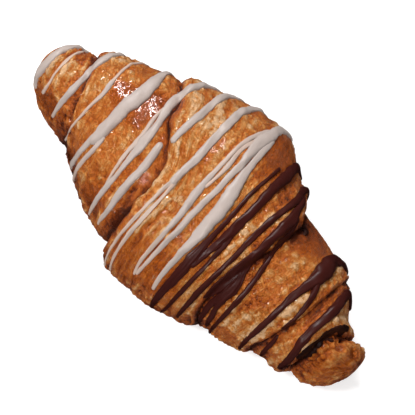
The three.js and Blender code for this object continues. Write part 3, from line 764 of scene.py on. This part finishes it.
def make_strand(crust, name, routes, flatness, lumps=0.0, ridges=0.0):
    """The routes of one strand as a single piece that stands for the CAD node."""
    points, faces, thin, uvs = [], [], [], []
    start = 0
    for number, route in enumerate(routes):
        seed = 7.0 * number + len(name)
        rings, width = strand_rings(crust, route, seed, flatness, lumps, ridges)
        rows, columns = rings.shape[:2]
        points += [rings[0].mean(0)[None], rings.reshape(-1, 3), rings[-1].mean(0)[None]]
        local = grid_faces(rows, columns)
        faces += [[start + v for v in face] for face in local]
        uvs += strip_corners(local, rows, columns, number, len(routes))
        flat = np.repeat(1 - smoothstep(1.1, 2.0, width), columns)
        thin.append(np.concatenate([flat[:1], flat, flat[-1:]]))
        start += rows * columns + 2
    piece = new_piece(name + "_drizzle", np.concatenate(points), faces)
    add_looks(piece, {"thin": np.concatenate(thin)})
    layer = piece.data.uv_layers.new(name="OFBake")
    layer.data.foreach_set("uv", np.array(uvs, np.float32).ravel())
    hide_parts(name)
    return piece


def strip_corners(faces, rows, columns, number, count):
    """Texture places of each face corner: one upright strip for each route of a strand."""
    corners = []
    for face in faces:
        places = []
        for vertex in face:
            if vertex == 0:
                places.append((None, 0.0))
            elif vertex == rows * columns + 1:
                places.append((None, 1.0))
            else:
                row, column = divmod(vertex - 1, columns)
                places.append((column, (row + 1) / (rows + 1)))
        known = [column for column, _ in places if column is not None]
        wraps = columns - 1 in known and 0 in known
        for column, v in places:
            if column is None:
                column = max(known) - 0.5
            elif wraps and column == 0:
                column = columns
            across = STRIP_SIDE_MARGIN + (1 - 2 * STRIP_SIDE_MARGIN) * column / columns
            upright = STRIP_END_MARGIN + (1 - 2 * STRIP_END_MARGIN) * v
            corners.append(((number + across) / count, upright))
    return corners


def crust_tree(piece):
    """The pastry's surface in millimetres, ready for rays."""
    mesh = piece.data
    flat = np.empty(3 * len(mesh.vertices))
    mesh.vertices.foreach_get("co", flat)
    points = [Vector(p) for p in (flat.reshape(-1, 3) / MM)]
    return BVHTree.FromPolygons(points, [list(p.vertices) for p in mesh.polygons])


CRUST = crust_tree(pastry)
icing_pieces = [
    make_strand(CRUST, name, routes, ICING_FLATNESS)
    for name, routes in WHITE_STRANDS.items()]
chocolate_pieces = [
    make_strand(CRUST, name, routes, CHOCOLATE_FLATNESS, ridges=CHOCOLATE_RIDGES)
    for name, routes in DARK_STRANDS.items()]
filling_pieces = [
    make_strand(CRUST, name, routes, FILLING_FLATNESS, lumps=FILLING_LUMPS)
    for name, routes in FILLING_LEAKS.items()]


# ---------------------------------------------------------------- materials
CREASE_SHARPNESS = 18.0
# Brings the crust's four noises, which are each a half on average, to zero on average.
MOTTLE_MIDDLE = 0.91
PLAIN_CRUST_TONE = 0.45


def new_material(name):
    material = bpy.data.materials.new(name)
    material.use_nodes = True
    tree = material.node_tree
    return material, tree, tree.nodes["Principled BSDF"]


def add_node(tree, kind, settings=None, inputs=None):
    """A shader node with its settings, and its inputs given as values or as other sockets."""
    node = tree.nodes.new(kind)
    for key, value in (settings or {}).items():
        setattr(node, key, value)
    for key, value in (inputs or {}).items():
        if isinstance(value, bpy.types.NodeSocket):
            tree.links.new(value, node.inputs[key])
        else:
            node.inputs[key].default_value = value
    return node


def noise_of(tree, place, size, detail=3.0, stretch=None):
    """Fractal noise with features of `size` millimetres."""
    if stretch:
        place = add_node(tree, "ShaderNodeMapping", {}, {"Vector": place, "Scale": stretch})
        place = place.outputs["Vector"]
    node = add_node(tree, "ShaderNodeTexNoise", {}, {
        "Vector": place, "Scale": 1 / (size * MM), "Detail": detail, "Roughness": 0.55})
    return node.outputs["Fac"]


def crease_of(tree, place, size, twist):
    """Thin curling lines about `size` millimetres apart, 1 on a line and 0 away from it."""
    node = add_node(tree, "ShaderNodeTexNoise", {}, {
        "Vector": place, "Scale": 1 / (size * MM), "Detail": 2.0, "Distortion": twist})
    away = math_of(tree, "ABSOLUTE", math_of(tree, "SUBTRACT", node.outputs["Fac"], 0.5))
    return math_of(tree, "MULTIPLY_ADD", away, -CREASE_SHARPNESS, 1.0, clamp=True)


def attribute_of(tree, name):
    return add_node(tree, "ShaderNodeAttribute", {"attribute_name": name}).outputs["Fac"]


def math_of(tree, operation, *values, clamp=False):
    node = add_node(tree, "ShaderNodeMath", {"operation": operation, "use_clamp": clamp},
                    dict(enumerate(values)))
    return node.outputs[0]


def weighted_sum(tree, base, terms):
    """base plus each socket times its weight."""
    total = base
    for socket, weight in terms:
        total = math_of(tree, "MULTIPLY_ADD", socket, weight, total)
    return total


def ramp_of(tree, value, stops):
    node = add_node(tree, "ShaderNodeValToRGB", {}, {"Fac": value})
    elements = node.color_ramp.elements
    while len(elements) < len(stops):
        elements.new(0.5)
    for element, (place, color) in zip(elements, stops):
        element.position = place
        element.color = (*color, 1)
    return node.outputs["Color"]


def crust_material():
    material, tree, shader = new_material("baked_crust")
    place = add_node(tree, "ShaderNodeTexCoord").outputs["Object"]
    broad = noise_of(tree, place, 16, 2)
    blotch = noise_of(tree, place, 2.6, 4)
    fine = noise_of(tree, place, 0.7, 3)
    parts = add_node(tree, "ShaderNodeSeparateXYZ", {}, {"Vector": place}).outputs
    along = math_of(tree, "MULTIPLY", attribute_of(tree, "along"), HALF_LENGTH * MM)
    rolled = add_node(tree, "ShaderNodeCombineXYZ", {}, {
        "X": along, "Y": parts["Y"], "Z": parts["Z"]}).outputs["Vector"]
    fibre = noise_of(tree, rolled, 0.8, 3, (1.5, 0.3, 0.3))
    sheet = noise_of(tree, rolled, 1.1, 2, (1.0, 0.07, 0.07))
    layers = attribute_of(tree, "layers")
    edges = math_of(tree, "MULTIPLY", math_of(tree, "SUBTRACT", sheet, 0.5), layers)
    # Painted shade: besides sinking the bump, these creases darken the crust's tone along their
    # lines.
    wrinkle = crease_of(tree, place, 2.6, 1.6)
    hairline = crease_of(tree, place, 1.2, 1.0)
    names = ("seam", "pale", "blister_tone_and_shade", "relief_shading", "nub", "low_darkening", "glaze")
    seam, pale, blister_tone_and_shade, relief_shading, nub, low_darkening, glaze = (attribute_of(tree, name) for name in names)
    mottle = weighted_sum(tree, MOTTLE_MIDDLE, [
        (broad, -0.6), (blotch, -0.5), (fine, -0.22), (fibre, -0.5)])
    calm = weighted_sum(tree, 1.0, [(glaze, -0.55), (low_darkening, -0.4)])
    # Painted light and shade: the relief look makes the tone paler on raised places and darker in
    # hollows.
    # Painted shade: the seam look darkens the tone along the seams' crevices.
    # Partly own colour and partly painted light and shade: the blister look pales raised places and
    # darkens cracks.
    tone = weighted_sum(tree, PLAIN_CRUST_TONE, [
        (math_of(tree, "MULTIPLY", mottle, calm), 1.0), (wrinkle, 0.10), (hairline, 0.08),
        (pale, -0.36), (blister_tone_and_shade, -0.24), (relief_shading, -0.16), (edges, -1.2), (layers, -0.04),
        (seam, 0.7), (low_darkening, 0.38), (nub, -0.05), (glaze, 0.24)])
    color = ramp_of(tree, tone, [
        (0.0, (0.68, 0.395, 0.20)),
        (0.2, (0.575, 0.243, 0.060)),
        (0.42, (0.49, 0.130, 0.013)),
        (0.65, (0.39, 0.078, 0.004)),
        (0.85, (0.21, 0.036, 0.0020)),
        (1.0, (0.070, 0.010, 0.0014)),
    ])
    tree.links.new(color, shader.inputs["Base Color"])
    rough = weighted_sum(tree, 0.36, [(fine, 0.2), (pale, 0.25), (glaze, -0.12), (seam, 0.2)])
    tree.links.new(rough, shader.inputs["Roughness"])
    coat = weighted_sum(tree, 0.6, [(glaze, 0.3), (pale, -0.2), (nub, -0.2)])
    tree.links.new(math_of(tree, "ADD", coat, 0.0, clamp=True), shader.inputs["Coat Weight"])
    shader.inputs["Coat Roughness"].default_value = 0.07
    shader.inputs["Specular IOR Level"].default_value = 0.3
    height = weighted_sum(tree, 0.0, [
        (blotch, 0.45), (fine, 0.25), (fibre, 0.45), (edges, 1.4), (wrinkle, -0.5),
        (hairline, -0.3)])
    bump = add_node(tree, "ShaderNodeBump", {}, {
        "Height": height, "Strength": 0.8, "Distance": 0.9 * MM})
    tree.links.new(bump.outputs["Normal"], shader.inputs["Normal"])
    film = weighted_sum(tree, 0.0, [(blotch, 0.5), (wrinkle, 0.9), (fine, 0.15)])
    film_bump = add_node(tree, "ShaderNodeBump", {}, {
        "Height": film, "Strength": 0.8, "Distance": 0.65 * MM})
    tree.links.new(film_bump.outputs["Normal"], shader.inputs["Coat Normal"])
    return material


def drizzle_material(name, thick, thin, roughness, shine, dimples):
    """Set icing, chocolate or filling, coloured `thick` where deep and `thin` where a thread."""
    material, tree, shader = new_material(name)
    place = add_node(tree, "ShaderNodeTexCoord").outputs["Object"]
    cloud = noise_of(tree, place, 5, 2)
    fine = noise_of(tree, place, 0.9, 3)
    share = weighted_sum(tree, -0.3, [(attribute_of(tree, "thin"), 0.9), (cloud, 0.6)])
    color = ramp_of(tree, share, [(0.0, thick), (1.0, thin)])
    tree.links.new(color, shader.inputs["Base Color"])
    rough = weighted_sum(tree, roughness - 0.08, [(fine, 0.16)])
    tree.links.new(rough, shader.inputs["Roughness"])
    shader.inputs["Specular IOR Level"].default_value = shine
    height = weighted_sum(tree, 0.0, [(fine, 0.3), (cloud, 1.0)])
    bump = add_node(tree, "ShaderNodeBump", {}, {
        "Height": height, "Strength": dimples, "Distance": 0.4 * MM})
    tree.links.new(bump.outputs["Normal"], shader.inputs["Normal"])
    return material


def floor_material():
    material, tree, shader = new_material("pale_floor")
    place = add_node(tree, "ShaderNodeTexCoord").outputs["Object"]
    cloud = noise_of(tree, place, 60, 2)
    fine = noise_of(tree, place, 1.5, 2)
    color = ramp_of(tree, cloud, [(0.0, (0.52, 0.52, 0.52)), (1.0, (0.56, 0.56, 0.56))])
    tree.links.new(color, shader.inputs["Base Color"])
    rough = weighted_sum(tree, 0.8, [(fine, 0.15)])
    tree.links.new(rough, shader.inputs["Roughness"])
    shader.inputs["Emission Color"].default_value = (1, 1, 1, 1)
    shader.inputs["Emission Strength"].default_value = 0.62
    bump = add_node(tree, "ShaderNodeBump", {}, {
        "Height": fine, "Strength": 0.1, "Distance": 0.2 * MM})
    tree.links.new(bump.outputs["Normal"], shader.inputs["Normal"])
    return material


pastry.data.materials.append(crust_material())
finishes = [
    (icing_pieces, drizzle_material(
        "white_icing", (0.405, 0.335, 0.302), (0.48, 0.345, 0.275), 0.42, 0.3, 0.35)),
    (chocolate_pieces, drizzle_material(
        "dark_chocolate", (0.042, 0.0074, 0.0054), (0.04, 0.007, 0.0045), 0.36, 0.2, 0.12)),
    (filling_pieces, drizzle_material(
        "dark_filling", (0.014, 0.004, 0.003), (0.03, 0.008, 0.004), 0.4, 0.15, 0.35)),
]
for pieces, finish in finishes:
    for piece in pieces:
        piece.data.materials.append(finish)

# ---------------------------------------------------------------- floor, light and camera
FLOOR_HALF = 1.2
FLOOR_STEPS = 24


def make_floor():
    """A plain floor under the object, a little below its lowest point."""
    mesh = bpy.data.meshes.new("studio_floor")
    builder = bmesh.new()
    bmesh.ops.create_grid(builder, x_segments=FLOOR_STEPS, y_segments=FLOOR_STEPS, size=FLOOR_HALF)
    builder.to_mesh(mesh)
    builder.free()
    floor = bpy.data.objects.new("studio_floor", mesh)
    bpy.context.scene.collection.objects.link(floor)
    floor.data.materials.append(floor_material())
    floor.visible_glossy = False


def add_area_light(name, direction, distance, size, power, glints):
    light = bpy.data.lights.new(name, "AREA")
    light.shape = "DISK"
    light.size = size
    light.energy = power
    lamp = bpy.data.objects.new(name, light)
    bpy.context.scene.collection.objects.link(lamp)
    towards = Vector(direction).normalized()
    lamp.location = towards * distance
    lamp.rotation_euler = towards.to_track_quat("Z", "Y").to_euler()
    lamp.visible_glossy = glints


def add_world(strength):
    world = bpy.data.worlds.new("studio")
    bpy.context.scene.world = world
    world.use_nodes = True
    background = world.node_tree.nodes["Background"]
    background.inputs["Color"].default_value = (1.0, 0.99, 0.98, 1)
    background.inputs["Strength"].default_value = strength
    world.cycles_visibility.glossy = False


CAMERA_AZIMUTH = math.radians(49)
CAMERA_ELEVATION = math.radians(71)
CAMERA_DISTANCE = 0.5985
CAMERA_LENS = 150
AIM_OFFSET = Vector((2.0, 0.3, -4.2)) * MM


def add_camera():
    data = bpy.data.cameras.new("camera")
    data.lens = CAMERA_LENS
    camera = bpy.data.objects.new("camera", data)
    bpy.context.scene.collection.objects.link(camera)
    level = math.cos(CAMERA_ELEVATION)
    back = Vector((math.sin(CAMERA_AZIMUTH) * level, -math.cos(CAMERA_AZIMUTH) * level,
                   math.sin(CAMERA_ELEVATION)))
    low, high = (Vector(corner) for corner in CAD_BOX)
    middle = (low + high) / 2
    camera.location = middle + AIM_OFFSET + back * CAMERA_DISTANCE
    camera.rotation_euler = back.to_track_quat("Z", "Y").to_euler()
    bpy.context.scene.camera = camera


# Name, direction from the object, distance and diameter in metres, watts, and whether it shows in
# the gloss.
LIGHTS = [
    ("key", (-0.54, 0.42, 0.73), 0.75, 0.11, 3.75, True),
    ("overhead", (0.1, -0.4, 0.9), 1.0, 1.2, 3.9, False),
    ("glint", (-0.14, -0.4, 0.9), 0.75, 0.1, 2.5, True),
]
WORLD_STRENGTH = 0.3

make_floor()
for light in LIGHTS:
    add_area_light(*light)
add_world(WORLD_STRENGTH)
add_camera()
bpy.context.scene.view_settings.view_transform = "Standard"
